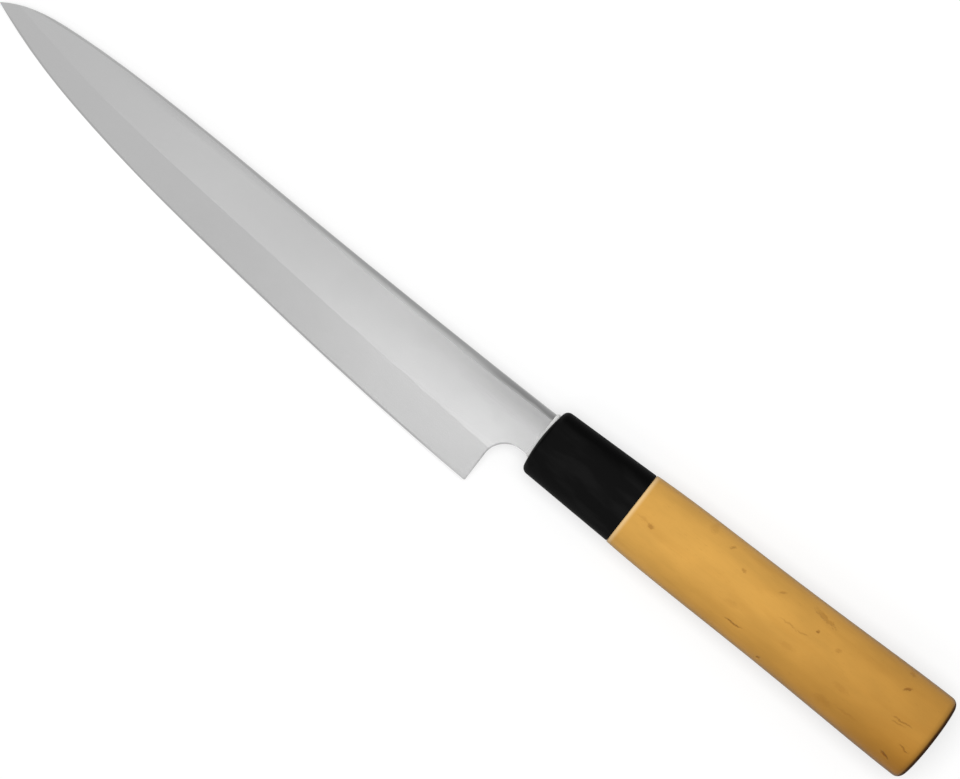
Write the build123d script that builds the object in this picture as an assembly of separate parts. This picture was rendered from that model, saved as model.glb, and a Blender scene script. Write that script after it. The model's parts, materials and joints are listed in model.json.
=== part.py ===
from build123d import *
import os

# A single-bevelled knife for slicing raw fish, with a black moulded ferrule and an oval wooden handle.
# Lengths are in millimetres and angles in degrees.
# The knife is built in its own frame: the origin is on the handle's axis at the front of the ferrule,
# +X runs towards the butt, +Y towards the spine and +Z out of the bevelled face.
# The last step lays it down the way it rests on a table.

# Blade
blade_reach = 193.1
point_rise = 2.4
spine_rise = 7.55
heel_setback = 9.6
heel_drop = 23.2
heel_round = 0.5
neck_drop = 6.0
choil_radius = 7.2
stock_thickness = 2.2
point_thickness = 1.2
upper_face_fall = 0.45
edge_thickness = 0.15
small_bevel_width = 0.6
small_bevel_thickness = 0.36
spine_round_width = 2.0
spine_round_drop = 0.8
spine_round_bulge_share = 0.22
hollow_depth = 0.3
hollow_rim = 1.6
hollow_heel_rim = 7.0
hollow_point_rim = 12.0
flat_back_end = 5.0
neck_relief = 0.1

# Tang
tang_length = 84.0
tang_root_width = 9.6
tang_end_width = 6.0
tang_thickness = 1.7
tang_corner = 1.2

# Ferrule
ferrule_length = 31.7
ferrule_front_height = 20.8
ferrule_front_thickness = 18.0
ferrule_back_height = 22.8
ferrule_back_thickness = 19.7
ferrule_front_wall = 3.0
ferrule_side_wall = 1.7
ferrule_crown_radius = 45.0
ferrule_front_round = 2.1

# Wooden handle
grip_length = 104.3
grip_front_height = 23.1
grip_front_thickness = 20.1
butt_height = 27.1
butt_thickness = 22.4
butt_crown_radius = 130.0
butt_round = 2.4

# Resin
tang_hole_gap = 0.7
tang_hole_relief = 3.0
seal_gap = 0.4
seal_lip = 0.25
seal_proud = 0.4

# Fits and cuts
spigot_clearance = 0.12
joint_chamfer = 0.25
cut_overrun = 3.0

# How the knife lies on a table
lie_pitch = 2.25
lie_roll = 12.3

# Shares of the blade's reach from the ferrule, with the spine's height as a share of its rise there
spine_shares = [(0.20, 1.03), (0.49, 1.172), (0.775, 1.292), (0.89, 1.15), (0.947, 0.925), (0.976, 0.665)]
# Shares of the blade's reach, with the cutting edge's depth as a share of the heel's drop
edge_shares = [
    (0.203, 0.936), (0.489, 0.729), (0.718, 0.499), (0.833, 0.326), (0.919, 0.143), (0.976, -0.022),
]
# Shares of the blade's reach, with the ridge's depth as a share of the heel's drop
ridge_shares = [
    (-0.05, 0.51), (0.06, 0.482), (0.13, 0.447), (0.20, 0.408), (0.346, 0.337), (0.489, 0.246),
    (0.632, 0.160), (0.775, 0.050), (0.85, -0.034), (0.92, -0.14), (1.03, -0.32),
]
# Shares of the blade's reach where its ground faces are set, from inside the ferrule to past the point
station_shares = [-0.03, 0.05, 0.16, 0.30, 0.45, 0.60, 0.72, 0.82, 0.90, 0.96, 1.02]
# Shares of the blade's reach, with the size of the rounded spine there as a share and how flat it is
spine_round_shares = [
    (-0.03, 0.9, 0.3), (0.05, 0.95, 0.3), (0.12, 1.0, 0.3), (0.20, 1.0, 0.1), (0.30, 0.95, 0), (0.40, 0.8, 0),
    (0.50, 0.5, 0), (0.60, 0.3, 0), (0.80, 0.25, 0), (0.93, 0.25, 0), (1.02, 0.25, 0),
]
# Shares of the hollow's length, with its depth there as a share of what its width gives
hollow_shares = [(0, 0.05), (0.06, 0.7), (0.25, 1), (0.50, 1), (0.72, 1), (0.88, 0.8), (1, 0.05)]
# Shares of the grip's length, with the share of its swelling reached there
swell_shares = [(0, 0), (0.11, 0.24), (0.40, 0.42), (0.70, 0.73), (1, 1)]

back_plane = -stock_thickness / 2
shoulder_x = ferrule_front_wall
butt_x = ferrule_length + grip_length


def spine_line():
    """The spine seen from the side, from the point to the mouth of the ferrule."""
    points = [(-share * blade_reach, rise * spine_rise) for share, rise in reversed(spine_shares)]
    return Spline([(-blade_reach, point_rise)] + points + [(0, spine_rise)])


def edge_line():
    """The cutting edge seen from the side, from the heel to the point."""
    points = [(-share * blade_reach, -drop * heel_drop) for share, drop in edge_shares]
    return Spline([(-heel_setback, -heel_drop)] + points + [(-blade_reach, point_rise)])


def ridge_line():
    """The ridge between the upper face and the wide bevel, seen from the side."""
    return Spline([(-share * blade_reach, -drop * heel_drop) for share, drop in ridge_shares])


def height_at(curve, x):
    """The curve's height over the handle's axis at X, found by halving; past an end it keeps that end's."""
    runs_forward = (curve @ 1).X > (curve @ 0).X
    low, high = 0, 1
    for _ in range(40):
        middle = (low + high) / 2
        if ((curve @ middle).X < x) == runs_forward:
            low = middle
        else:
            high = middle
    return (curve @ high).Y


def thickness_at(x):
    """The blade's thickness at its ridge: full stock behind the heel, thinning evenly to the point."""
    share = (-x - heel_setback) / (blade_reach - heel_setback)
    return stock_thickness - (stock_thickness - point_thickness) * max(share, 0)


def across(x, outline):
    """A closed outline of Y and Z values as a face square to the knife at X."""
    return Plane.YZ.offset(x) * make_face(outline)


def oval(x, height, thickness):
    """One oval section of the handle."""
    return Plane.YZ.offset(x) * Ellipse(height / 2, thickness / 2)


def blade_outline():
    """The blade seen from the side, from the point to the shoulder that seats on the wood."""
    choil = FilletPolyline(
        (-heel_setback, -heel_drop), (-heel_setback, -neck_drop), (0, -neck_drop), radius=choil_radius
    )
    neck = Polyline((0, -neck_drop), (shoulder_x, -neck_drop), (shoulder_x, spine_rise), (0, spine_rise))
    face = make_face(edge_line() + choil + neck + spine_line()).face()
    heel = face.vertices().sort_by(Axis.Y)[0]
    return face.fillet_2d(heel_round, [heel])


def upper_face_at(x, y):
    """The upper face's height over the middle plane; it falls gently from the ridge to the spine."""
    full_width = spine_rise - height_at(ridge_line(), -heel_setback)
    share = (y - height_at(ridge_line(), x)) / full_width
    return back_plane + thickness_at(x) - upper_face_fall * share**2


def above_upper_face(x):
    """What is ground away at one station to leave the small bevel, the wide bevel and the upper face."""
    edge_y = height_at(edge_line(), x)
    ridge_y = height_at(ridge_line(), x)
    ridge_z = back_plane + thickness_at(x)
    small_slope = (small_bevel_thickness - edge_thickness) / small_bevel_width
    outside_y = edge_y - cut_overrun
    outside_z = back_plane + edge_thickness - small_slope * cut_overrun
    top_z = back_plane + stock_thickness + cut_overrun
    far_y = max(share for _, share in spine_shares) * spine_rise + cut_overrun
    middle_y = (ridge_y + far_y) / 2
    upper_face = ThreePointArc(
        (ridge_y, ridge_z), (middle_y, upper_face_at(x, middle_y)), (far_y, upper_face_at(x, far_y))
    )
    rest = Polyline(
        (far_y, upper_face_at(x, far_y)),
        (far_y, top_z),
        (outside_y, top_z),
        (outside_y, outside_z),
        (edge_y + small_bevel_width, back_plane + small_bevel_thickness),
        (ridge_y, ridge_z),
    )
    return across(x, upper_face + rest)


def hollow_section(length_share, depth_share):
    """The ground hollow of the flat back at one station along it."""
    start_x = -heel_setback - hollow_heel_rim
    end_x = hollow_point_rim - blade_reach
    x = start_x + (end_x - start_x) * length_share
    high_y = height_at(spine_line(), x) - hollow_rim
    low_y = height_at(edge_line(), x) + hollow_rim
    depth = hollow_depth * depth_share * (high_y - low_y) / (spine_rise + heel_drop)
    top = ((low_y + high_y) / 2, back_plane + depth)
    roof = ThreePointArc((low_y, back_plane), top, (high_y, back_plane))
    floor_z = back_plane - cut_overrun
    rest = Polyline((high_y, back_plane), (high_y, floor_z), (low_y, floor_z), (low_y, back_plane))
    return across(x, roof + rest)


def above_spine_round(x, size_share, flat_share):
    """What is taken off the spine's upper edge at one station: a rounded shoulder, or a flatter bevel."""
    spine_y = height_at(spine_line(), x)
    width = spine_round_width * size_share
    drop = spine_round_drop * size_share
    low_y = spine_y - width
    low_z = upper_face_at(x, low_y)
    bulge = drop * spine_round_bulge_share * (1 - flat_share)
    shoulder = ThreePointArc(
        (low_y, low_z), (spine_y - width / 2, low_z - drop / 2 + bulge), (spine_y, low_z - drop)
    )
    top_z = back_plane + stock_thickness + cut_overrun
    outside_y = spine_y + cut_overrun
    rest = Polyline(
        (spine_y, low_z - drop), (outside_y, low_z - drop), (outside_y, top_z), (low_y, top_z), (low_y, low_z)
    )
    return across(x, shoulder + rest)


def neck_back_relief():
    """What is taken off the neck's back, so that the flat back ends clear of the ferrule."""
    length = flat_back_end + shoulder_x + cut_overrun
    width = 2 * (spine_rise + neck_drop)
    block = Box(length, width, cut_overrun, align=(Align.MIN, Align.CENTER, Align.MAX))
    return Pos(-flat_back_end, 0, back_plane + neck_relief) * block


def tang_shape(grow=0, longer=0):
    """The tapering tang behind the shoulder, or the hole round it when it is grown."""
    end_x = shoulder_x + tang_length + longer
    root = tang_root_width / 2 + grow
    end = tang_end_width / 2 + grow
    sides = FilletPolyline(
        (shoulder_x, root), (end_x, end), (end_x, -end), (shoulder_x, -root), radius=tang_corner + grow
    )
    outline = make_face(sides + Line((shoulder_x, -root), (shoulder_x, root)))
    thickness = tang_thickness + 2 * grow
    return extrude(Pos(0, 0, -thickness / 2) * outline, amount=thickness)


def make_blade():
    """The blade with its tang, one piece of steel."""
    blank = extrude(Pos(0, 0, back_plane) * blade_outline(), amount=stock_thickness)
    ground = loft([above_upper_face(-share * blade_reach) for share in station_shares])
    hollow = loft([hollow_section(*shares) for shares in hollow_shares])
    ground_spine = loft(
        [above_spine_round(-share * blade_reach, size, flat) for share, size, flat in spine_round_shares]
    )
    return blank - ground - hollow - ground_spine - neck_back_relief() + tang_shape()


def neck_section(x, reach):
    """A rounded section round the blade's neck at X, standing off it by the reach."""
    height = spine_rise + neck_drop + 2 * reach
    thickness = stock_thickness + 2 * reach
    middle_y = (spine_rise - neck_drop) / 2
    return Plane.YZ.offset(x) * Pos(middle_y, 0) * RectangleRounded(height, thickness, reach)


def ferrule_slot(start_x):
    """The slot through the ferrule's front wall, wider than the neck by the gap for the seal."""
    return extrude(neck_section(start_x, seal_gap), amount=ferrule_front_wall - start_x)


def ferrule_oval(x, narrower=0):
    """The ferrule's outer section at X, on the straight taper between its ends, made narrower all round."""
    share = x / ferrule_length
    height = ferrule_front_height + (ferrule_back_height - ferrule_front_height) * share
    thickness = ferrule_front_thickness + (ferrule_back_thickness - ferrule_front_thickness) * share
    return oval(x, height - 2 * narrower, thickness - 2 * narrower)


def ferrule_core(wall):
    """The room inside the ferrule, or with a thicker wall the wood's spigot; it runs on past the joint."""
    return loft(
        [ferrule_oval(ferrule_front_wall, wall), ferrule_oval(ferrule_length + cut_overrun, wall)], ruled=True
    )


def make_ferrule():
    """The moulded collar: a crowned cap with rounded corners, open at the back."""
    body = loft([ferrule_oval(0), ferrule_oval(ferrule_length)], ruled=True)
    body = body & Pos(ferrule_crown_radius, 0, 0) * Sphere(ferrule_crown_radius)
    front_rim = body.edges().sort_by(Axis.X)[0]
    body = fillet(front_rim, ferrule_front_round)
    body = chamfer(body.edges().sort_by(Axis.X)[-1], joint_chamfer)
    return body - ferrule_core(ferrule_side_wall) - ferrule_slot(-cut_overrun)


def make_wooden_handle():
    """The oval grip, crowned and rounded at the butt, with its spigot and the blind hole for the tang."""
    sections = []
    for length_share, swell in swell_shares:
        height = grip_front_height + (butt_height - grip_front_height) * swell
        thickness = grip_front_thickness + (butt_thickness - grip_front_thickness) * swell
        sections.append(oval(ferrule_length + grip_length * length_share, height, thickness))
    grip = loft(sections)
    grip = grip & Pos(butt_x - butt_crown_radius, 0, 0) * Sphere(butt_crown_radius)
    grip = fillet(grip.edges().sort_by(Axis.X)[-1], butt_round)
    grip = chamfer(grip.edges().sort_by(Axis.X)[0], joint_chamfer)
    spigot = ferrule_core(ferrule_side_wall + spigot_clearance)
    return grip + spigot - tang_shape(tang_hole_gap, tang_hole_relief)


def make_tang_resin():
    """The resin that fills the hole round the tang."""
    return tang_shape(tang_hole_gap, tang_hole_relief) - tang_shape()


def make_mouth_seal(blade, ferrule):
    """The bead that closes the slot round the neck and stands a little proud of the ferrule."""
    outer_end = neck_section(-seal_proud, seal_gap / 2)
    inner_end = neck_section(seal_proud, seal_gap + seal_lip)
    bead = loft([outer_end, inner_end], ruled=True)
    return ferrule_slot(0) + (bead - ferrule) - blade


def laid_down(pieces):
    """The pieces with the edge side rolled down, the butt raised and the lowest point on the table."""
    turned = {name: Rot(0, -lie_pitch, 0) * Rot(lie_roll, 0, 0) * piece for name, piece in pieces.items()}
    boxes = [piece.bounding_box() for piece in turned.values()]
    middle_x = (min(box.min.X for box in boxes) + max(box.max.X for box in boxes)) / 2
    middle_y = (min(box.min.Y for box in boxes) + max(box.max.Y for box in boxes)) / 2
    lowest_z = min(box.min.Z for box in boxes)
    return {name: Pos(-middle_x, -middle_y, -lowest_z) * piece for name, piece in turned.items()}


steel_blade = make_blade()
moulded_ferrule = make_ferrule()
knife = {
    "blade": steel_blade,
    "ferrule": moulded_ferrule,
    "wooden_handle": make_wooden_handle(),
    "tang_resin": make_tang_resin(),
    "mouth_seal": make_mouth_seal(steel_blade, moulded_ferrule),
}

os.makedirs("parts", exist_ok=True)
for name, piece in laid_down(knife).items():
    export_step(piece, f"parts/{name}.step")
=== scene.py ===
"""The looks of a single-bevelled slicing knife: ground steel, moulded black ferrule and lacquered wood.

Lengths are in metres. The knife frame is the frame that the knife is made in: its origin is on the
handle's axis at the front of the ferrule, x runs towards the butt, y towards the spine and z out of
the bevelled face. The finishes give their sizes and places in millimetres of the knife frame. A pair
of numbers in a finish mostly says where an effect starts and where it is full, and a pair beside a list
of stops says which stretch the stops cover.
"""

import json
import logging
import math
from dataclasses import dataclass
from enum import Enum

import bpy
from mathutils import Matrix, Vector

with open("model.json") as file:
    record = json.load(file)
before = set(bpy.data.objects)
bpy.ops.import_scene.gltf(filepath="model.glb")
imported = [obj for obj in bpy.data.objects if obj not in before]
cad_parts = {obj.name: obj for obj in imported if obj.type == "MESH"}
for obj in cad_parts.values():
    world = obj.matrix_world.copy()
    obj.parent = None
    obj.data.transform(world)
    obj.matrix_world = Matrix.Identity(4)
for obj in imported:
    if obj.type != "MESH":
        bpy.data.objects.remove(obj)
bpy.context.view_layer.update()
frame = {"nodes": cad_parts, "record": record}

log = logging.getLogger("knife")

MM = 0.001
WHITE = (1.0, 1.0, 1.0)
UP = (0.0, 0.0, 1.0)
UNIT = (0.0, 1.0)
Rgb = tuple[float, float, float]
Point = tuple[float, float, float]
Pair = tuple[float, float]
Stops = tuple[Pair, ...]


class Kind(Enum):
    """The kinds of socket that the shader node groups have."""

    NUMBER = "NodeSocketFloat"
    VECTOR = "NodeSocketVector"


def rgba(colour: Rgb) -> tuple[float, float, float, float]:
    """The colour with full alpha."""
    return (*colour, 1.0)


@dataclass(frozen=True)
class KnifeFrame:
    """Where the knife frame lies in the row frame."""

    origin: Vector
    along: Vector
    spineward: Vector
    outward: Vector

    @classmethod
    def from_row(cls) -> "KnifeFrame":
        """Works the frame out from two mounts and the front of the ferrule.

        Returns:
            The knife frame.
        """
        mounts = {mount["name"]: mount for mount in frame["record"]["mounts"]}
        along = Vector(mounts["grip"]["axis"]).normalized()
        outward = -Vector(mounts["blade_back"]["axis"]).normalized()
        spineward = outward.cross(along).normalized()
        outward = along.cross(spineward)
        on_axis = Vector(mounts["grip"]["pos_m"])
        front = min(vertex.co.dot(along) for vertex in frame["nodes"]["ferrule"].data.vertices)
        origin = on_axis + along * (front - on_axis.dot(along))
        return cls(origin, along, spineward, outward)


class Graph:
    """A node tree with short calls for adding nodes and joining them."""

    MIX_SHARE, MIX_FIRST, MIX_SECOND = 0, 6, 7
    MIX_COLOUR = 2

    def __init__(self, tree: bpy.types.NodeTree) -> None:
        """Takes over the tree and empties it.

        Args:
            tree: The node tree to fill.
        """
        self.tree = tree
        tree.nodes.clear()

    def node(self, kind: str, values: dict | None = None, **settings: object) -> bpy.types.Node:
        """Adds one node.

        Args:
            kind: The node's type name.
            values: What each input gets, by its name or number: a constant, or a socket to join to it.
            **settings: The node's own settings.

        Returns:
            The new node.
        """
        made = self.tree.nodes.new(kind)
        for name, value in settings.items():
            setattr(made, name, value)
        for name, value in (values or {}).items():
            self.feed(made.inputs[name], value)
        return made

    def feed(self, socket: bpy.types.NodeSocket, value: object) -> None:
        """Gives an input a constant, or joins it to an output.

        Args:
            socket: The input.
            value: The constant, or the output socket to join to it.
        """
        if isinstance(value, bpy.types.NodeSocket):
            self.tree.links.new(value, socket)
        else:
            socket.default_value = value

    def maths(self, operation: str, *values: object, clamp: bool = False) -> bpy.types.NodeSocket:
        """One sum on numbers, such as ADD or MULTIPLY."""
        made = self.node("ShaderNodeMath", dict(enumerate(values)), operation=operation, use_clamp=clamp)
        return made.outputs[0]

    def times(self, *values: object) -> bpy.types.NodeSocket:
        """The product of two or more numbers.

        Args:
            *values: The numbers, or the sockets that give them.

        Returns:
            The product.
        """
        product = values[0]
        for value in values[1:]:
            product = self.maths("MULTIPLY", product, value)
        return product

    def swing(self, value: object, amount: float) -> bpy.types.NodeSocket:
        """Turns noise about its middle of 0.5 into a change about 0 of at most half the amount each way."""
        return self.maths("MULTIPLY", self.maths("SUBTRACT", value, 0.5), amount)

    def vector(self, operation: str, *values: object) -> bpy.types.NodeSocket:
        """One sum on vectors that gives a vector."""
        made = self.node("ShaderNodeVectorMath", dict(enumerate(values)), operation=operation)
        return made.outputs["Vector"]

    def measure(self, operation: str, *values: object) -> bpy.types.NodeSocket:
        """One sum on vectors that gives a number, such as DOT_PRODUCT or LENGTH."""
        made = self.node("ShaderNodeVectorMath", dict(enumerate(values)), operation=operation)
        return made.outputs["Value"]

    def join(self, x: object, y: object, z: object) -> bpy.types.NodeSocket:
        """A vector of three numbers."""
        return self.node("ShaderNodeCombineXYZ", {0: x, 1: y, 2: z}).outputs["Vector"]

    def fade(self, value: object, start: float, end: float) -> bpy.types.NodeSocket:
        """A smooth step.

        Args:
            value: The number that the step follows.
            start: Where the step is 0.
            end: Where the step is 1, above or below the start.

        Returns:
            The step, from 0 to 1.
        """
        values = {"Value": value, "From Min": start, "From Max": end}
        made = self.node("ShaderNodeMapRange", values, interpolation_type="SMOOTHSTEP")
        return made.outputs["Result"]

    def span(self, value: object, old: Pair, new: Pair) -> bpy.types.NodeSocket:
        """Maps one range of numbers evenly onto another, held at its ends."""
        values = {"Value": value, "From Min": old[0], "From Max": old[1], "To Min": new[0], "To Max": new[1]}
        return self.node("ShaderNodeMapRange", values).outputs["Result"]

    def shades(self, value: object, stops: Stops) -> bpy.types.NodeSocket:
        """Looks a value up in a list of stops.

        Args:
            value: The number to look up, from 0 to 1.
            stops: The stops in order, each a value and the grey there.

        Returns:
            The grey, read evenly between stops.
        """
        made = self.node("ShaderNodeValToRGB", {"Fac": value})
        elements = made.color_ramp.elements
        for number, (position, shade) in enumerate(stops):
            element = elements[number] if number < 2 else elements.new(position)
            element.position = position
            element.color = rgba((shade, shade, shade))
        return made.outputs["Color"]

    def blend(self, share: object, first: object, second: object, mode: str = "MIX") -> bpy.types.NodeSocket:
        """Mixes two colours.

        Args:
            share: How much of the second colour comes in, from 0 to 1.
            first: The first colour.
            second: The second colour.
            mode: How they mix, such as MIX or MULTIPLY.

        Returns:
            The mixed colour.
        """
        values = {self.MIX_SHARE: share, self.MIX_FIRST: first, self.MIX_SECOND: second}
        made = self.node("ShaderNodeMix", data_type="RGBA", blend_type=mode)
        for number, value in values.items():
            self.feed(made.inputs[number], value)
        return made.outputs[self.MIX_COLOUR]

    def shade(self, colour: object, amount: object) -> bpy.types.NodeSocket:
        """The colour made lighter or darker by a number near 1."""
        grey = self.node("ShaderNodeCombineColor", {0: amount, 1: amount, 2: amount}).outputs[0]
        return self.blend(1.0, colour, grey, "MULTIPLY")

    def noise(self, place: object, scale: float, detail: float = 2.0) -> bpy.types.NodeSocket:
        """Noise from 0 to 1 at a place, its scale in waves per millimetre."""
        values = {"Vector": place, "Scale": scale, "Detail": detail}
        return self.node("ShaderNodeTexNoise", values).outputs["Fac"]

    def bump(self, height: object, depth: float) -> bpy.types.NodeSocket:
        """A normal for a height from 0 to 1, where 1 stands the depth in millimetres proud."""
        values = {"Strength": 1.0, "Distance": depth * MM, "Height": height}
        return self.node("ShaderNodeBump", values).outputs["Normal"]

    def group(self, name: str, **values: object) -> bpy.types.Node:
        """Places a node group.

        Args:
            name: The group's name.
            **values: What each input gets, by its name with an underscore for a space.

        Returns:
            The group's node.
        """
        made = self.node("ShaderNodeGroup")
        made.node_tree = bpy.data.node_groups[name]
        for key, value in values.items():
            self.feed(made.inputs[key.replace("_", " ")], value)
        return made

    def finish(self, **values: object) -> None:
        """Ends a material with its surface shader.

        Args:
            **values: What each input gets, by its name with an underscore for a space.
        """
        inputs = {key.replace("_", " "): value for key, value in values.items()}
        shader = self.node("ShaderNodeBsdfPrincipled", inputs)
        self.node("ShaderNodeOutputMaterial", {"Surface": shader.outputs[0]})


def new_material(name: str) -> tuple[bpy.types.Material, Graph]:
    """Starts a material.

    Args:
        name: The material's name.

    Returns:
        The material and the graph of its nodes.
    """
    material = bpy.data.materials.new(name)
    material.use_nodes = True
    return material, Graph(material.node_tree)


class SharedEffects:
    """The shader node groups that more than one material or mark uses."""

    PLACE = "knife_place"
    STREAKS = "lengthwise_streaks"
    MARK = "long_soft_mark"
    WAVER_SCALE = 0.04
    WAVER_DETAIL = 1.0
    STREAK_DETAIL = 3.0
    RAGGED_SWING = 2.0
    MARK_RIM = (0.3, 1.0)

    def __init__(self, knife: KnifeFrame) -> None:
        """Builds the groups.

        Args:
            knife: The knife frame, which the places follow.
        """
        self.knife = knife
        self._build_place()
        self._build_streaks()
        self._build_mark()

    @staticmethod
    def _start(name: str, inputs: dict[str, Kind], outputs: dict[str, Kind]) -> tuple[Graph, dict, dict]:
        """Starts a group with its named sockets.

        Args:
            name: The group's name.
            inputs: The kind of each input, by name.
            outputs: The kind of each output, by name.

        Returns:
            The group's graph, its input sockets by name and the sockets to feed by name.
        """
        tree = bpy.data.node_groups.new(name, "ShaderNodeTree")
        for names, side in ((inputs, "INPUT"), (outputs, "OUTPUT")):
            for label, kind in names.items():
                tree.interface.new_socket(name=label, in_out=side, socket_type=kind.value)
        graph = Graph(tree)
        start = graph.node("NodeGroupInput")
        end = graph.node("NodeGroupOutput")
        return graph, {k: start.outputs[k] for k in inputs}, {k: end.inputs[k] for k in outputs}

    def _build_place(self) -> None:
        """The place in the knife frame, in millimetres, and which way the surface faces there."""
        outputs = {"Place": Kind.VECTOR} | dict.fromkeys(
            ("Along", "Spineward", "Outward", "Tilt", "Facing", "Upward"), Kind.NUMBER)
        graph, _, out = self._start(self.PLACE, {}, outputs)
        row_place = graph.node("ShaderNodeTexCoord").outputs["Object"]
        offset = graph.vector("SUBTRACT", row_place, self.knife.origin)
        normal = graph.node("ShaderNodeNewGeometry").outputs["Normal"]
        numbers = []
        for label, axis in (("Along", self.knife.along), ("Spineward", self.knife.spineward),
                            ("Outward", self.knife.outward)):
            numbers.append(graph.maths("DIVIDE", graph.measure("DOT_PRODUCT", offset, axis), MM))
            graph.feed(out[label], numbers[-1])
        graph.feed(out["Place"], graph.join(*numbers))
        graph.feed(out["Tilt"], graph.measure("DOT_PRODUCT", normal, self.knife.spineward))
        graph.feed(out["Facing"], graph.measure("DOT_PRODUCT", normal, self.knife.along))
        graph.feed(out["Upward"], graph.measure("DOT_PRODUCT", normal, UP))

    def _build_streaks(self) -> None:
        """Noise drawn out along the knife, as in brushed metal or wood grain."""
        inputs = {"Place": Kind.VECTOR, "Length": Kind.NUMBER, "Width": Kind.NUMBER, "Waver": Kind.NUMBER}
        graph, put, out = self._start(self.STREAKS, inputs, {"Streaks": Kind.NUMBER})
        slow = graph.noise(put["Place"], self.WAVER_SCALE, self.WAVER_DETAIL)
        sideways = graph.maths("MULTIPLY", graph.swing(slow, 1.0), put["Waver"])
        x, y, z = graph.node("ShaderNodeSeparateXYZ", {0: put["Place"]}).outputs
        drawn = graph.join(
            graph.maths("DIVIDE", x, put["Length"]),
            graph.maths("DIVIDE", graph.maths("ADD", y, sideways), put["Width"]),
            graph.maths("DIVIDE", z, put["Width"]),
        )
        graph.feed(out["Streaks"], graph.noise(drawn, 1.0, self.STREAK_DETAIL))

    def _build_mark(self) -> None:
        """A soft oval mark at a place seen from the bevelled side, its long way slanted by the slope."""
        inputs = {"Place": Kind.VECTOR, "Centre": Kind.VECTOR, "Half size": Kind.VECTOR, "Slope": Kind.NUMBER,
                  "Rough": Kind.NUMBER, "Ragged": Kind.NUMBER}
        graph, put, out = self._start(self.MARK, inputs, {"Mark": Kind.NUMBER})
        offset = graph.vector("SUBTRACT", put["Place"], put["Centre"])
        x, y, _ = graph.node("ShaderNodeSeparateXYZ", {0: offset}).outputs
        off_line = graph.maths("SUBTRACT", y, graph.maths("MULTIPLY", x, put["Slope"]))
        scaled = graph.vector("DIVIDE", graph.join(x, off_line, 0.0), put["Half size"])
        uneven = graph.maths("MULTIPLY", graph.swing(put["Rough"], self.RAGGED_SWING), put["Ragged"])
        reach = graph.maths("ADD", graph.measure("LENGTH", scaled), uneven)
        graph.feed(out["Mark"], graph.maths("SUBTRACT", 1.0, graph.fade(reach, *self.MARK_RIM)))


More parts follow.
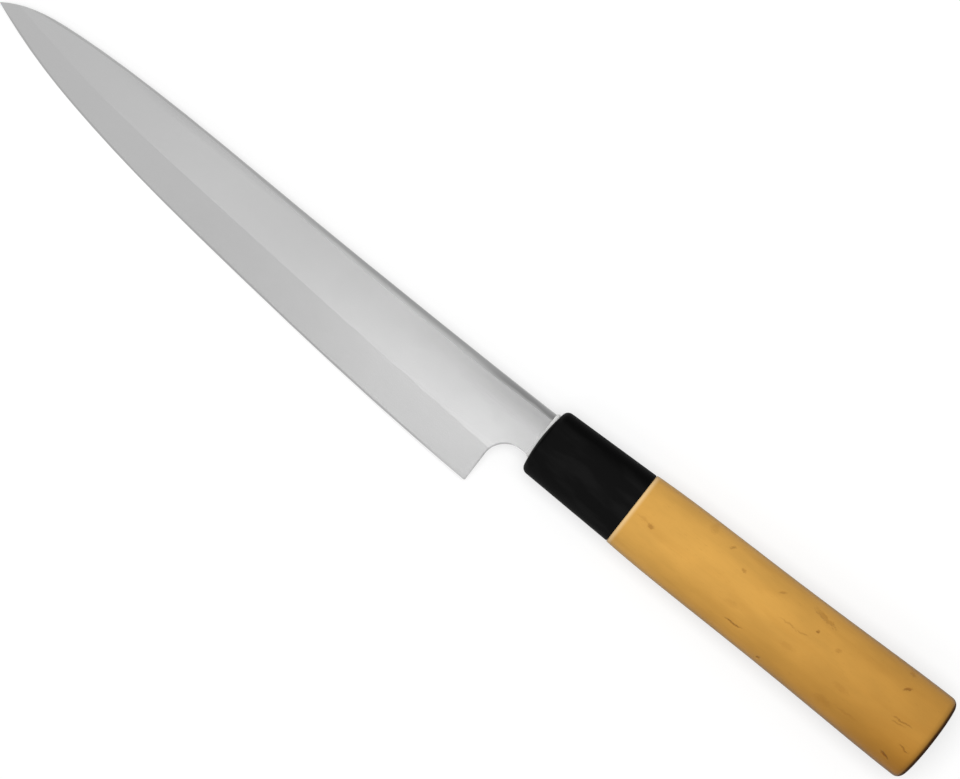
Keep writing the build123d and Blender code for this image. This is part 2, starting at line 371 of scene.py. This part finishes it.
@dataclass(frozen=True)
class SteelFinish:
    """Satin stainless steel: ground along its length, with painted shade on the rounded spine, a darker small
    edge bevel and a painted highlight on that bevel near the heel.

    The shades are painted shade: they give how bright the steel is painted by how far its surface tilts
    towards the spine. The light lifts are painted sheen and shade on the flat and the bevel; they go from
    the point to the ferrule, each with the change there above or below 0.5. The spine heights are how far
    the spine lies from the axis at each length, as shares of the spine scale. The edge shade radii are
    shares of the choil's radius, and the low share is the strength of the painted dark line at the foot of
    the heel.
    """

    name: str = "satin_steel"
    colour: Rgb = (0.571, 0.571, 0.571)
    edge_colour: Rgb = (0.50, 0.50, 0.50)
    heel_edge_highlight_colour: Rgb = (0.59, 0.59, 0.59)
    heel_edge_highlight_along: Pair = (-32.0, -16.0)
    edge_tilt: Pair = (-0.24, -0.29)
    flat_stop: float = 0.04
    flat_shade: float = 0.834
    spine_shades: Stops = (
        (0.10, 0.96), (0.145, 0.97), (0.23, 0.90), (0.305, 0.755), (0.38, 0.65), (0.45, 0.575), (0.53, 0.55),
        (0.9, 0.58),
    )
    neck_shades: Stops = (
        (0.15, 0.82), (0.20, 0.84), (0.245, 0.88), (0.305, 0.60), (0.35, 0.405), (0.39, 0.415), (0.43, 0.47),
        (0.475, 0.57), (0.52, 0.70), (0.9, 0.75),
    )
    neck_fade: Pair = (-32.0, -12.0)
    light_along: Pair = (-165.0, 0.0)
    flat_light_lifts: Stops = ((0.0, 0.50), (0.12, 0.52), (0.24, 0.55), (0.33, 0.555), (0.42, 0.515), (0.52, 0.50))
    bevel_light_lifts: Stops = (
        (0.0, 0.48), (0.15, 0.475), (0.33, 0.44), (0.42, 0.43), (0.576, 0.445), (0.727, 0.51), (0.909, 0.57),
    )
    bevel_tilt: Pair = (-0.04, -0.10)
    ridge_shade_share: float = 0.07
    ridge_shade_along: Pair = (-60.0, -30.0)
    ridge_shade_across: Pair = (-2.0, -10.5)
    spine_along: Pair = (-193.1, 0.0)
    spine_scale: float = 10.0
    spine_heights: Stops = (
        (0.0, 0.24), (0.024, 0.502), (0.053, 0.698), (0.11, 0.868), (0.225, 0.976), (0.367, 0.945),
        (0.51, 0.885), (0.8, 0.778), (1.0, 0.755),
    )
    roll_shade_width: float = 3.4
    roll_shade_share: float = 0.12
    roll_shade_start: Pair = (-70.0, -110.0)
    roll_shade_end: Pair = (-165.0, -125.0)
    front_fade: Pair = (-50.0, -110.0)
    front_share: float = 0.5
    shadow_share: float = 0.22
    shadow_along: Pair = (-52.0, -6.0)
    shadow_across: Pair = (-1.5, 5.0)
    shadow_tilt: Pair = (0.3, 0.1)
    choil_centre: Point = (-2.4, -13.2, 0.0)
    choil_radius: float = 7.2
    edge_shade_width: float = 0.7
    edge_shade_share: float = 0.42
    edge_shade_low_share: float = 0.168
    edge_shade_radii: Pair = (-0.2, -0.6)
    roughness: float = 0.25
    spine_roughness: float = 0.40
    rough_tilt: Pair = (0.1, 0.3)
    line_length: float = 40.0
    line_width: float = 0.22
    line_contrast: float = 0.035
    cloud_scale: float = 0.05
    cloud_contrast: float = 0.04
    bump: float = 0.008

    def _tilt_shade(self, graph: Graph, place: dict) -> bpy.types.NodeSocket:
        """Painted shade by the steel's tilt: darkest on the spine's shoulder beside the neck, with a painted
        shadow on the flat near the neck.

        Args:
            graph: The material's graph.
            place: The outputs of the place group.

        Returns:
            The shade as a grey.
        """
        flat = (self.flat_stop, self.flat_shade)
        shade = graph.blend(graph.fade(place["Along"], *self.neck_fade),
                            graph.shades(place["Tilt"], (flat, *self.spine_shades)),
                            graph.shades(place["Tilt"], (flat, *self.neck_shades)))
        front = graph.times(graph.fade(place["Along"], *self.front_fade), self.front_share)
        shade = graph.blend(front, shade, rgba((self.flat_shade,) * 3))
        shadow = graph.times(graph.span(place["Along"], self.shadow_along, (0.0, self.shadow_share)),
                             graph.fade(place["Spineward"], *self.shadow_across),
                             graph.fade(place["Tilt"], *self.shadow_tilt))
        return graph.shade(shade, graph.maths("SUBTRACT", 1.0, shadow))

    def _painted_light(self, graph: Graph, place: dict) -> bpy.types.NodeSocket:
        """Painted sheen and shade: how much lighter or darker the flat and the bevel are painted at each
        length, so that the ridge shows.

        Args:
            graph: The material's graph.
            place: The outputs of the place group.

        Returns:
            The change, about 0.
        """
        reach = graph.span(place["Along"], self.light_along, UNIT)
        # Painted shade on the flat beside the ridge near the heel.
        ridge_shade = graph.times(graph.span(place["Along"], self.ridge_shade_along, (0.0, self.ridge_shade_share)),
                                   graph.fade(place["Spineward"], *self.ridge_shade_across))
        flat = graph.maths("SUBTRACT", graph.shades(reach, self.flat_light_lifts), ridge_shade)
        lift = graph.blend(graph.fade(place["Tilt"], *self.bevel_tilt), flat,
                           graph.shades(reach, self.bevel_light_lifts))
        return graph.maths("SUBTRACT", graph.swing(lift, 1.0), self._painted_roll_shade(graph, place))

    def _painted_roll_shade(self, graph: Graph, place: dict) -> bpy.types.NodeSocket:
        """Painted shade: how much darker the front half is painted beside the spine, where the flat rolls
        over softly.

        Args:
            graph: The material's graph.
            place: The outputs of the place group.

        Returns:
            The share of the light that is lost.
        """
        reach = graph.span(place["Along"], self.spine_along, UNIT)
        height = graph.maths("MULTIPLY", graph.shades(reach, self.spine_heights), self.spine_scale)
        off_spine = graph.maths("SUBTRACT", height, place["Spineward"])
        return graph.times(graph.fade(off_spine, self.roll_shade_width, 0.0), self.roll_shade_share,
                           graph.fade(place["Along"], *self.roll_shade_start),
                           graph.fade(place["Along"], *self.roll_shade_end))

    def _painted_edge_shade(self, graph: Graph, place: dict) -> bpy.types.NodeSocket:
        """A painted dark line of shade along the edge of the heel and the choil.

        Args:
            graph: The material's graph.
            place: The outputs of the place group.

        Returns:
            A number from 0 away from the edge to the line's strength on it.
        """
        x, y, _ = graph.node("ShaderNodeSeparateXYZ",
                             {0: graph.vector("SUBTRACT", place["Place"], self.choil_centre)}).outputs
        off_centre = graph.measure("LENGTH", graph.join(x, graph.maths("MAXIMUM", y, 0.0), 0.0))
        off_edge = graph.maths("SUBTRACT", off_centre, self.choil_radius)
        heel_side = graph.fade(x, *(self.choil_radius * share for share in self.edge_shade_radii))
        strength = graph.span(y, (-self.choil_radius, 0.0), (self.edge_shade_low_share, self.edge_shade_share))
        return graph.times(graph.fade(off_edge, self.edge_shade_width, 0.0), heel_side, strength)

    def build(self) -> bpy.types.Material:
        """Makes the material.

        Returns:
            The material.
        """
        material, graph = new_material(self.name)
        place = graph.group(SharedEffects.PLACE).outputs
        lines = graph.group(SharedEffects.STREAKS, Place=place["Place"], Length=self.line_length,
                            Width=self.line_width, Waver=0.0).outputs["Streaks"]
        # The small edge bevel is painted lighter towards the heel: a painted highlight.
        edge_colour = graph.blend(graph.fade(place["Along"], *self.heel_edge_highlight_along),
                                  rgba(self.edge_colour), rgba(self.heel_edge_highlight_colour))
        colour = graph.blend(graph.fade(place["Tilt"], *self.edge_tilt), rgba(self.colour), edge_colour)
        # Painted shade by tilt, darkest on the spine's shoulder.
        colour = graph.blend(1.0, colour, self._tilt_shade(graph, place), "MULTIPLY")
        change = graph.maths("ADD", graph.swing(lines, self.line_contrast),
                             graph.swing(graph.noise(place["Place"], self.cloud_scale), self.cloud_contrast))
        # Painted sheen and shade along the length.
        change = graph.maths("ADD", change, self._painted_light(graph, place))
        # The painted dark line of shade along the heel and the choil.
        change = graph.maths("SUBTRACT", change, self._painted_edge_shade(graph, place))
        colour = graph.shade(colour, graph.maths("ADD", 1.0, change))
        rough = graph.span(place["Tilt"], self.rough_tilt, (self.roughness, self.spine_roughness))
        rough = graph.maths("ADD", rough, graph.swing(lines, self.line_contrast))
        graph.finish(Base_Color=colour, Metallic=1.0, Roughness=rough, Normal=graph.bump(lines, self.bump))
        return material


@dataclass(frozen=True)
class PlasticFinish:
    """Black moulded plastic with a fine dull skin, painted sheen in faint streaks like flow marks, and
    painted shade on its steep sides.
    """

    name: str = "black_plastic"
    colour: Rgb = (0.0056, 0.0056, 0.0056)
    flow_sheen_colour: Rgb = (0.0088, 0.0088, 0.0088)
    rim_shade_colour: Rgb = (0.0008, 0.0008, 0.0008)
    rim_shade_steepness: Pair = (0.55, 0.95)
    flow_length: float = 14.0
    flow_width: float = 3.5
    flow_waver: float = 8.0
    flow_fade: Pair = (0.42, 0.68)
    skin_scale: float = 4.0
    skin_detail: float = 4.0
    skin_range: Pair = (0.3, 0.7)
    roughness: float = 0.5
    roughness_swing: float = 0.06
    specular: float = 0.015
    bump: float = 0.02

    def build(self) -> bpy.types.Material:
        """Makes the material.

        Returns:
            The material.
        """
        material, graph = new_material(self.name)
        place = graph.group(SharedEffects.PLACE).outputs
        flow = graph.group(SharedEffects.STREAKS, Place=place["Place"], Length=self.flow_length,
                           Width=self.flow_width, Waver=self.flow_waver).outputs["Streaks"]
        skin = graph.noise(place["Place"], self.skin_scale, self.skin_detail)
        # Painted sheen in faint lighter streaks drawn like flow marks.
        colour = graph.blend(graph.fade(flow, *self.flow_fade), rgba(self.colour), rgba(self.flow_sheen_colour))
        # Painted shade on the steep sides and the front wall.
        steep = graph.maths("MAXIMUM", graph.maths("ABSOLUTE", place["Tilt"]),
                            graph.maths("MULTIPLY", place["Facing"], -1.0))
        colour = graph.blend(graph.fade(steep, *self.rim_shade_steepness), colour, rgba(self.rim_shade_colour))
        rough = graph.span(skin, self.skin_range,
                           (self.roughness - self.roughness_swing, self.roughness + self.roughness_swing))
        graph.finish(Base_Color=colour, Roughness=rough, Specular_IOR_Level=self.specular,
                     Normal=graph.bump(skin, self.bump))
        return material


@dataclass(frozen=True)
class Mark:
    """One mark in the wood, seen from the bevelled side: a pit, a dark streak or a faint smudge."""

    along: float
    across: float
    half_length: float
    half_width: float
    strength: float
    slope: float = 0.0
    ragged: float = 0.5


@dataclass(frozen=True)
class WoodFinish:
    """Yellow wood under clear lacquer, with faint growth rings, fine pores, brown pits and dark streaks,
    a painted highlight on the front rim, painted shade towards the underside and round the butt, and end
    grain whose near-black colour is dark wood with painted shade in it.
    """

    name: str = "lacquered_wood"
    front_colour: Rgb = (0.70, 0.378, 0.084)
    butt_colour: Rgb = (0.49, 0.242, 0.045)
    length_fade: Pair = (40.0, 150.0)
    edge_side_colour: Rgb = (0.37, 0.157, 0.016)
    edge_side_along: Pair = (32.0, 136.0)
    edge_side_shares: Stops = (
        (0.0, 0.0), (0.05, 0.03), (0.194, 0.22), (0.328, 0.34), (0.541, 0.33), (0.755, 0.42), (0.941, 0.80),
        (1.0, 0.88),
    )
    edge_side_across: Pair = (6.0, -13.0)
    ring_colour: Rgb = (0.46, 0.20, 0.030)
    mark_colour: Rgb = (0.25, 0.085, 0.012)
    joint_highlight_colour: Rgb = (0.83, 0.55, 0.25)
    end_grain_and_shade_colour: Rgb = (0.030, 0.010, 0.0015)
    end_rings_and_shade_colour: Rgb = (0.068, 0.027, 0.006)
    front: float = 31.7
    joint_highlight_reach: float = 1.6
    joint_highlight_core: float = 0.32
    pith: Point = (0.0, -26.0, -38.0)
    ring_spacing: float = 2.6
    ring_drawing: Point = (0.35, 1.0, 1.0)
    ring_scale: float = 0.06
    ring_bend: float = 9.0
    ring_wave: Pair = (-0.2, 1.0)
    ring_share: float = 0.14
    uneven_drawing: Point = (0.2, 1.0, 1.0)
    uneven_scale: float = 0.25
    uneven_fade: Pair = (0.3, 0.75)
    grain_waver: float = 2.0
    fibre_length: float = 9.0
    fibre_width: float = 0.25
    fibre_contrast: float = 0.10
    pore_length: float = 1.6
    pore_width: float = 0.16
    pore_fade: Pair = (0.62, 0.78)
    pore_share: float = 0.22
    blotch_drawing: Point = (0.4, 1.0, 1.0)
    blotch_scale: float = 0.16
    blotch_contrast: float = 0.30
    under_shade_share: float = 0.56
    under_shade_upward: Pair = (0.48, 0.12)
    under_shade_growth: Pair = (0.6, 1.0)
    butt_shade_share: float = 0.16
    butt_shade_facing: Pair = (0.0, 0.4)
    last_shade_share: float = 0.13
    last_shade_along: Pair = (131.5, 136.0)
    end_facing: Pair = (0.38, 0.74)
    roughness: float = 0.40
    dull_roughness: float = 0.2
    end_dullness: float = 2.0
    specular: float = 0.08
    bump: float = 0.02
    pit_depth: float = 0.25
    mark_share: float = 0.75
    mark_outward: Pair = (0.0, 2.0)
    wander_scale: float = 0.35
    wander: float = 2.2
    ragged_scale: float = 2.2
    ragged_detail: float = 3.0
    marks: tuple[Mark, ...] = (
        Mark(38.8, 1.7, 1.3, 1.0, 0.58),
        Mark(36.0, 2.1, 2.6, 0.5, 0.20),
        Mark(60.2, 10.2, 1.0, 0.45, 0.42, 0.4),
        Mark(53.2, 10.9, 2.0, 1.2, 0.18),
        Mark(66.3, 7.5, 1.0, 0.8, 0.45),
        Mark(78.4, 9.1, 1.2, 0.4, 0.40, 0.7),
        Mark(92.4, 7.1, 0.65, 0.55, 0.75),
        Mark(100.0, 6.3, 1.1, 0.7, 0.30),
        Mark(121.4, 9.4, 1.4, 0.6, 0.80, 0.7),
        Mark(120.3, 12.9, 1.2, 0.5, 0.35),
        Mark(72.6, -5.8, 3.6, 0.35, 0.70, 0.13),
        Mark(84.6, 3.7, 3.8, 0.30, 0.30),
        Mark(89.0, 4.2, 2.6, 0.30, 0.30, 0.05),
        Mark(92.2, 10.5, 5.2, 0.8, 0.40, -0.07),
        Mark(125.6, 2.0, 4.0, 0.28, 0.50, 0.06),
        Mark(124.8, 0.9, 2.8, 0.25, 0.35, 0.06),
        Mark(130.5, -3.7, 2.4, 0.35, 0.55),
        Mark(127.6, -9.1, 1.9, 0.55, 1.00, -0.25),
        Mark(84.0, -9.6, 0.8, 0.5, 0.70),
        Mark(68.9, -1.7, 3.0, 1.2, 0.16),
        Mark(88.0, -1.4, 3.4, 1.4, 0.16),
        Mark(106.8, -1.3, 3.6, 1.2, 0.16),
        Mark(104.8, -7.6, 4.0, 1.4, 0.20),
        Mark(112.0, -6.2, 4.6, 0.5, 0.20, 0.05),
    )

    def _rings(self, graph: Graph, place: bpy.types.NodeSocket) -> bpy.types.NodeSocket:
        """The growth rings round a pith outside the handle, which the long sides cut nearly lengthwise.

        Args:
            graph: The material's graph.
            place: The place in the knife frame.

        Returns:
            A number from 0 in pale wood to 1 in the dark of a ring.
        """
        offset = graph.vector("MULTIPLY", graph.vector("SUBTRACT", place, self.pith), (0.0, 1.0, 1.0))
        slow = graph.noise(graph.vector("MULTIPLY", place, self.ring_drawing), self.ring_scale)
        radius = graph.maths("ADD", graph.measure("LENGTH", offset), graph.swing(slow, self.ring_bend))
        wave = graph.maths("SINE", graph.maths("MULTIPLY", radius, math.tau / self.ring_spacing))
        uneven = graph.noise(graph.vector("MULTIPLY", place, self.uneven_drawing), self.uneven_scale)
        return graph.times(graph.span(wave, self.ring_wave, UNIT), graph.fade(uneven, *self.uneven_fade))

    def _marks(self, graph: Graph, place: dict) -> bpy.types.NodeSocket:
        """All the marks of the bevelled side together.

        Args:
            graph: The material's graph.
            place: The outputs of the place group.

        Returns:
            A number from 0 in clear wood to 1 in the darkest mark.
        """
        wander = graph.swing(graph.noise(place["Place"], self.wander_scale), self.wander)
        bent = graph.vector("ADD", place["Place"], graph.join(0.0, wander, 0.0))
        rough = graph.noise(place["Place"], self.ragged_scale, self.ragged_detail)
        total = 0.0
        for mark in self.marks:
            made = graph.group(SharedEffects.MARK, Place=bent, Centre=(mark.along, mark.across, 0.0),
                               Half_size=(mark.half_length, mark.half_width, 1.0), Slope=mark.slope,
                               Rough=rough, Ragged=mark.ragged)
            total = graph.maths("MULTIPLY_ADD", made.outputs["Mark"], mark.strength, total)
        return graph.maths("MULTIPLY", total, graph.fade(place["Outward"], *self.mark_outward), clamp=True)

    def _painted_rim_shade(self, graph: Graph, place: dict) -> bpy.types.NodeSocket:
        """Painted shade: how much darker the wood is painted towards the underside, near the butt and round
        the butt's rim.

        Args:
            graph: The material's graph.
            place: The outputs of the place group.

        Returns:
            The share of the light that is lost.
        """
        growth = graph.span(place["Along"], self.length_fade, self.under_shade_growth)
        under = graph.times(graph.fade(place["Upward"], *self.under_shade_upward), growth, self.under_shade_share)
        butt = graph.times(graph.fade(place["Facing"], *self.butt_shade_facing), self.butt_shade_share)
        last = graph.times(graph.fade(place["Along"], *self.last_shade_along), self.last_shade_share)
        return graph.maths("ADD", under, graph.maths("ADD", butt, last))

    def build(self) -> bpy.types.Material:
        """Makes the material.

        Returns:
            The material.
        """
        material, graph = new_material(self.name)
        place = graph.group(SharedEffects.PLACE).outputs
        spot = place["Place"]
        fibre = graph.group(SharedEffects.STREAKS, Place=spot, Length=self.fibre_length,
                            Width=self.fibre_width, Waver=self.grain_waver).outputs["Streaks"]
        pores = graph.group(SharedEffects.STREAKS, Place=spot, Length=self.pore_length,
                            Width=self.pore_width, Waver=self.grain_waver).outputs["Streaks"]
        pores = graph.fade(pores, *self.pore_fade)
        rings = self._rings(graph, spot)
        marks = self._marks(graph, place)
        colour = graph.blend(graph.fade(place["Along"], *self.length_fade),
                             rgba(self.front_colour), rgba(self.butt_colour))
        reach = graph.span(place["Along"], self.edge_side_along, UNIT)
        edge_side = graph.times(graph.fade(place["Spineward"], *self.edge_side_across),
                                graph.shades(reach, self.edge_side_shares))
        colour = graph.blend(edge_side, colour, rgba(self.edge_side_colour))
        blotches = graph.noise(graph.vector("MULTIPLY", spot, self.blotch_drawing), self.blotch_scale)
        change = graph.maths("ADD", graph.swing(blotches, self.blotch_contrast),
                             graph.swing(fibre, self.fibre_contrast))
        colour = graph.shade(colour, graph.maths("ADD", 1.0, change))
        colour = graph.blend(graph.times(rings, self.ring_share), colour, rgba(self.ring_colour))
        colour = graph.blend(graph.times(pores, self.pore_share), colour, rgba(self.mark_colour))
        colour = graph.blend(graph.times(marks, self.mark_share), colour, rgba(self.mark_colour))
        # A painted highlight on the front rim beside the ferrule.
        joint = graph.fade(place["Along"], self.front + self.joint_highlight_reach, self.front + self.joint_highlight_core)
        colour = graph.blend(joint, colour, rgba(self.joint_highlight_colour))
        # Painted shade towards the underside and round the butt.
        colour = graph.shade(colour, graph.maths("SUBTRACT", 1.0, self._painted_rim_shade(graph, place)))
        # The butt's end grain: dark wood with painted shade in its near-black colour.
        end_grain = graph.fade(place["Facing"], *self.end_facing)
        end = graph.blend(rings, rgba(self.end_grain_and_shade_colour), rgba(self.end_rings_and_shade_colour))
        colour = graph.blend(end_grain, colour, end)
        dents = graph.maths("ADD", graph.times(marks, self.pit_depth / self.bump), pores)
        height = graph.maths("SUBTRACT", fibre, dents)
        dull = graph.maths("ADD", graph.maths("MAXIMUM", marks, pores),
                           graph.times(end_grain, self.end_dullness))
        rough = graph.maths("ADD", self.roughness, graph.times(dull, self.dull_roughness))
        graph.finish(Base_Color=colour, Roughness=rough, Specular_IOR_Level=self.specular,
                     Normal=graph.bump(height, self.bump))
        return material


@dataclass(frozen=True)
class ResinFinish:
    """Sealing resin, wiped smooth and slightly cloudy."""

    name: str
    colour: Rgb
    cloud_colour: Rgb
    cloud_scale: float = 0.7
    cloud_detail: float = 3.0
    cloud_fade: Pair = (0.35, 0.65)
    cloud_range: Pair = (0.3, 0.7)
    roughness: Pair = (0.25, 0.4)
    bump: float = 0.05

    def build(self) -> bpy.types.Material:
        """Makes the material.

        Returns:
            The material.
        """
        material, graph = new_material(self.name)
        spot = graph.group(SharedEffects.PLACE).outputs["Place"]
        cloud = graph.noise(spot, self.cloud_scale, self.cloud_detail)
        colour = graph.blend(graph.fade(cloud, *self.cloud_fade), rgba(self.colour), rgba(self.cloud_colour))
        rough = graph.span(cloud, self.cloud_range, self.roughness)
        graph.finish(Base_Color=colour, Roughness=rough, Normal=graph.bump(cloud, self.bump))
        return material


def dress(node: str, material: bpy.types.Material) -> None:
    """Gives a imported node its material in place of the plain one.

    Args:
        node: The node's name.
        material: The material that it wears.
    """
    slots = frame["nodes"][node].data.materials
    slots.clear()
    slots.append(material)
    log.info("%s wears %s", node, material.name)


@dataclass
class PhotoCamera:
    """The camera straight above the knife, turned as the photograph is."""

    turn: float = 38.066
    height: float = 1.2
    over: Pair = (0.0070, 0.0045)
    view_width: float = 0.26712
    sensor: float = 36.0
    clip_end: float = 20.0

    def build(self) -> bpy.types.Object:
        """Makes the camera and sets it as the scene's own.

        Returns:
            The camera.
        """
        data = bpy.data.cameras.new("photo_camera")
        data.sensor_width = self.sensor
        data.lens = self.sensor * self.height / self.view_width
        data.clip_end = self.clip_end
        camera = bpy.data.objects.new("photo_camera", data)
        camera.location = (*self.over, self.height)
        camera.rotation_euler = (0.0, 0.0, math.radians(self.turn))
        bpy.context.scene.collection.objects.link(camera)
        bpy.context.scene.camera = camera
        return camera


@dataclass(frozen=True)
class Softbox:
    """One rectangular lamp: where it hangs, what it faces, its sides and how bright its face is.

    A brightness of 1 is as bright as the white surroundings. A lamp that isn't mirrored lights matt
    surfaces only, so that satin metal goes on showing the plain surroundings there.
    """

    name: str
    place: Point
    target: Point
    sides: Pair
    brightness: float
    mirrored: bool = True

    def build(self) -> bpy.types.Object:
        """Makes the lamp.

        Returns:
            The lamp.
        """
        data = bpy.data.lights.new(self.name, "AREA")
        data.shape = "RECTANGLE"
        data.size, data.size_y = self.sides
        data.energy = self.brightness * math.pi * self.sides[0] * self.sides[1]
        lamp = bpy.data.objects.new(self.name, data)
        lamp.location = self.place
        lamp.rotation_euler = (Vector(self.target) - Vector(self.place)).to_track_quat("-Z", "Y").to_euler()
        lamp.visible_camera = False
        lamp.visible_glossy = self.mirrored
        bpy.context.scene.collection.objects.link(lamp)
        return lamp


@dataclass
class Studio:
    """A white floor, a white world and soft lamps."""

    floor_half: float = 3.0
    floor_colour: Rgb = (0.46, 0.46, 0.46)
    floor_lift: float = 0.58
    ambient: float = 0.45
    lamps: tuple[Softbox, ...] = (
        Softbox("overhead", (0.03, 0.03, 0.80), (0.03, 0.0, 0.0), (0.5, 0.5), 4.8, mirrored=False),
        Softbox("sheen", (-0.03, -0.49, 0.80), (0.0, 0.0, 0.0), (0.19, 0.20), 2.6),
    )

    def build(self) -> None:
        """Makes the floor, the world and the lamps."""
        self._build_floor()
        self._build_world()
        for lamp in self.lamps:
            lamp.build()
        bpy.context.scene.view_settings.view_transform = "Standard"

    @staticmethod
    def _seen(graph: Graph) -> bpy.types.NodeSocket:
        """Which rays show the background: straight from the camera, in gloss or through glass.

        Args:
            graph: The graph of the floor's material or of the world.

        Returns:
            1 for such a ray and 0 for any other.
        """
        path = graph.node("ShaderNodeLightPath").outputs
        glossy = graph.maths("MAXIMUM", path["Is Glossy Ray"], path["Is Transmission Ray"])
        return graph.maths("MAXIMUM", path["Is Camera Ray"], glossy)

    def _build_floor(self) -> None:
        """The floor: pale, with a lift towards white that only the view and reflections see."""
        half = self.floor_half
        corners = [(x * half, y * half, 0.0) for x, y in ((-1, -1), (1, -1), (1, 1), (-1, 1))]
        mesh = bpy.data.meshes.new("floor")
        mesh.from_pydata(corners, [], [(0, 1, 2, 3)])
        floor = bpy.data.objects.new("floor", mesh)
        bpy.context.scene.collection.objects.link(floor)
        material, graph = new_material("white_floor")
        matt = graph.node("ShaderNodeBsdfDiffuse", {"Color": rgba(self.floor_colour)})
        strength = graph.maths("MULTIPLY", self._seen(graph), self.floor_lift)
        lift = graph.node("ShaderNodeEmission", {"Color": rgba(WHITE), "Strength": strength})
        both = graph.node("ShaderNodeAddShader", {0: matt.outputs[0], 1: lift.outputs[0]})
        graph.node("ShaderNodeOutputMaterial", {"Surface": both.outputs[0]})
        mesh.materials.append(material)

    def _build_world(self) -> None:
        """The world: white where it is seen or reflected, and a plain soft fill elsewhere."""
        world = bpy.data.worlds.new("studio")
        bpy.context.scene.world = world
        world.use_nodes = True
        graph = Graph(world.node_tree)
        strength = graph.span(self._seen(graph), UNIT, (self.ambient, 1.0))
        light = graph.node("ShaderNodeBackground", {"Color": rgba(WHITE), "Strength": strength})
        graph.node("ShaderNodeOutputWorld", {"Surface": light.outputs[0]})


@dataclass
class Blade:
    """The steel blade with its tang."""

    node: str = "blade"
    finish: SteelFinish = SteelFinish()

    def dress(self) -> None:
        """Gives the blade its ground steel."""
        dress(self.node, self.finish.build())


@dataclass
class Handle:
    """The moulded ferrule and the wooden grip."""

    ferrule_node: str = "ferrule"
    grip_node: str = "wooden_handle"
    plastic: PlasticFinish = PlasticFinish()
    wood: WoodFinish = WoodFinish()

    def dress(self) -> None:
        """Gives both pieces their materials."""
        dress(self.ferrule_node, self.plastic.build())
        dress(self.grip_node, self.wood.build())


@dataclass
class Resin:
    """The hidden filling round the tang and the bead at the mouth of the ferrule."""

    filling_node: str = "tang_resin"
    bead_node: str = "mouth_seal"
    filling: ResinFinish = ResinFinish("cast_resin", (0.55, 0.44, 0.22), (0.62, 0.52, 0.30))
    bead: ResinFinish = ResinFinish("sealing_resin", (0.76, 0.76, 0.75), (0.84, 0.84, 0.83))

    def dress(self) -> None:
        """Gives both pieces their materials."""
        dress(self.filling_node, self.filling.build())
        dress(self.bead_node, self.bead.build())


def main() -> None:
    """Builds the studio and dresses the knife."""
    logging.basicConfig(level=logging.INFO, format="%(message)s")
    SharedEffects(KnifeFrame.from_row())
    PhotoCamera().build()
    Studio().build()
    Blade().dress()
    Handle().dress()
    Resin().dress()


if __name__ == "__main__":
    main()
